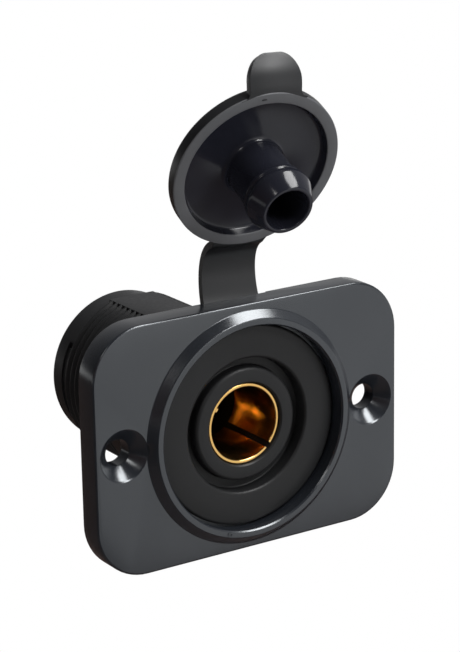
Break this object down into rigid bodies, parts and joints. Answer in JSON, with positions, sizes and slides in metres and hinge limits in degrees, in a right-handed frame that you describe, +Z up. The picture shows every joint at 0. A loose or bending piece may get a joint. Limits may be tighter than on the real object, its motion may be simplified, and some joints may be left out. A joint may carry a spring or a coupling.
{
  "type": "flush mount din power socket",
  "caption": "Flush mount DIN power socket on a screw-down plate, with a brass contact sleeve, a threaded barrel and a strapped rubber sealing cap.",
  "frame": {"origin": "on the socket's axis, in the back face of the mounting plate", "axes": "+X to the right along the plate, +Y back into the panel along the socket's axis, +Z up towards the cap; the plug comes in from -Y"},
  "size_m": [0.0566, 0.0623, 0.0812],
  "materials": {
    "plate_plastic": "satin moulded",
    "body_plastic": "fine grain",
    "sleeve_brass": "bright rolled",
    "contact_brass": "turned",
    "base_plastic": "moulded",
    "tinned_brass": "tinned",
    "nut_plastic": "moulded",
    "strap_rubber": "satin",
    "cap_rubber": "satin rim, glossy bung"
  },
  "bodies": {
    "socket": {"mounting_plate": "plate_plastic", "socket_body": "body_plastic", "contact_sleeve": "sleeve_brass", "centre_contact": "contact_brass", "terminal_base": "base_plastic", "positive_terminal": "tinned_brass", "retaining_nut": "nut_plastic", "strap_ring": "strap_rubber"},
    "strap": {"cap_strap": "strap_rubber"},
    "cap": {"sealing_cap": "cap_rubber"}
  },
  "joints": [
    {"name": "strap_bend", "type": "hinge", "parent": "socket", "child": "strap", "pos_m": [0, 0.0008, 0.0215], "axis": [0.9986, -0.0523, 0], "range_deg": [-10, 113], "stiffness_Nm_per_rad": 0.01, "deforming": ["cap_strap"]},
    {"name": "cap_fold", "type": "hinge", "parent": "strap", "child": "cap", "pos_m": [0, -0.00383, 0.02687], "axis": [0.9986, -0.0523, 0], "range_deg": [-4, 44.1]}
  ],
  "couplings": [
    {"joint": "cap_fold", "follows": "strap_bend", "ratio": 0.38938}
  ]
}
